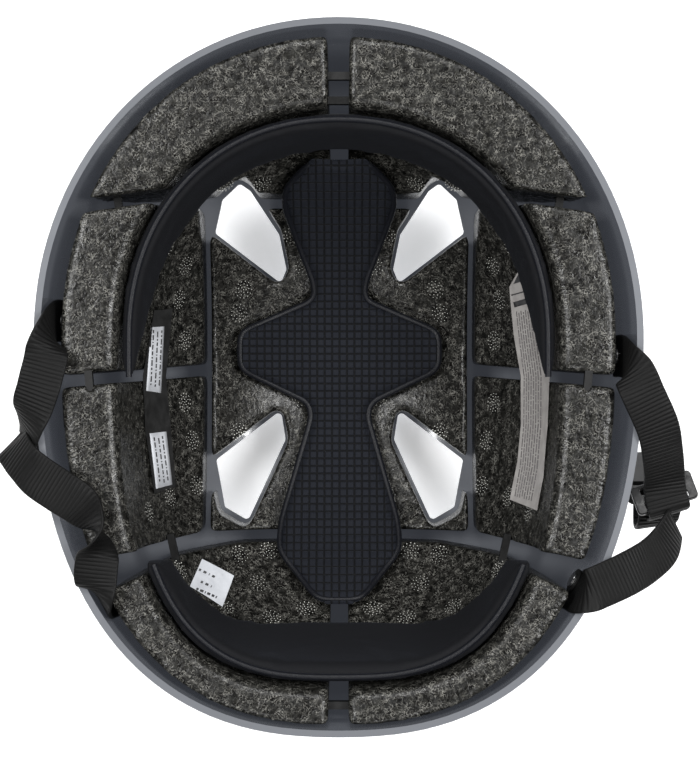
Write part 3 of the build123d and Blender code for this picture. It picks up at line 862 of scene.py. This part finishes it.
def text_lines(path, offsets, width, dash=3.2, gap=0.9):
    """Broken fine lines beside a path in plan, in place of print."""
    path = np.array(path, float)
    run = np.concatenate([[0], np.cumsum(np.linalg.norm(np.diff(path, axis=0), axis=1))])
    shapes = []
    for row, offset in enumerate(offsets):
        at = 0.6 * (row % 2)
        step = 0
        while at < run[-1] - 1:
            long = dash * (0.6 + 0.4 * math.sin(2.3 * step + 1.7 * row))
            ends = []
            for place in (at, min(at + long, run[-1])):
                spot = np.array([np.interp(place, run, path[:, k]) for k in (0, 1)])
                ahead = np.array([np.interp(min(place + 1, run[-1]), run, path[:, k]) for k in (0, 1)])
                back = np.array([np.interp(max(place - 1, 0), run, path[:, k]) for k in (0, 1)])
                turn = (ahead - back) / np.linalg.norm(ahead - back)
                ends.append(spot + np.array([-turn[1], turn[0]]) * offset)
            shapes.append(bar(ends[0], ends[1], width))
            at += long + gap
            step += 1
    return shapes


def labels():
    silver = tree_of(LINER_NODES + ["instruction_label"])
    black = tree_of(LINER_NODES + ["production_label"])
    white = tree_of(LINER_NODES + ["size_label"])
    arrow = [[(74.6, 44.0), (77.6, 39.6), (72.0, 38.0), (72.0, 38.0)]]
    rule = [bar((71.4, 33.5), (79.6, 35.5), 0.5), bar((72.4, 29.5), (80.0, 31.5), 2.2)]
    lines = text_lines(
        [(76.5, 27), (78.3, 10), (79.4, 0), (79.2, -20), (77.8, -37), (75.5, -50)],
        (-3.1, -2.3, -1.5, -0.7, 0.1, 0.9, 1.7, 2.5), 0.3, 3.6, 0.5,
    )
    marks("instruction_arrow", silver, arrow + rule, PRINT, 0.10)
    marks("instruction_lines", silver, lines, PRINT_GREY, 0.10)
    boxes = [
        [(-77.4, 20), (-72.6, 20.6), (-73.8, -7), (-78.9, -6)],
        [(-77.6, -23.5), (-71.8, -23), (-69.3, -45), (-75.0, -46.2)],
    ]
    marks("production_boxes", black, boxes, LABEL_WHITE, 0.10)
    lines = text_lines([(-75.2, 19), (-76.2, -5)], (-1.3, 0.2, 1.6), 0.45, 2.4, 0.7)
    lines += text_lines([(-74.8, -25), (-72.4, -44)], (-1.4, 0.1, 1.5), 0.45, 2.4, 0.7)
    marks("production_print", black, lines, PRINT, 0.20)
    lines = text_lines([(-58, -80), (-50, -84.5)], (0,), 0.8, 1.4, 1.2)
    lines += text_lines([(-57, -84.8), (-52, -87.5)], (0,), 0.8, 1.4, 1.2)
    lines += text_lines([(-58.6, -87.2), (-50, -91.6)], (0,), 0.8, 1.6, 0.7)
    marks("size_print", white, lines, PRINT, 0.10)


# ---------------------------------------------------------------- run
camera()
studio()
paint_node("outer_shell", SHELL)
liner()
moulding_dots()
crown_pad()
band_pad("brow_comfort_pad", "front_pad", (-2.3, 182.3), FLEECE)
band_pad("nape_comfort_pad", "rear_pad", (214, 326), FLEECE)
straps()
for name in ("left_divider", "right_divider", "buckle_plug", "buckle_socket", "strap_keeper"):
    paint_node(name, ACETAL)
    bevelled(name, 0.4 * MM)
paint_node("strap_rivets", RIVET)
paint_node("strap_washers", WASHER)
for name in ("crown_hook_patches", "front_hook_patches", "rear_hook_patches"):
    paint_node(name, HOOK_TAPE)
paint_node("instruction_label", SILVER)
paint_node("production_label", LABEL_BLACK)
paint_node("size_label", LABEL_WHITE)
labels()
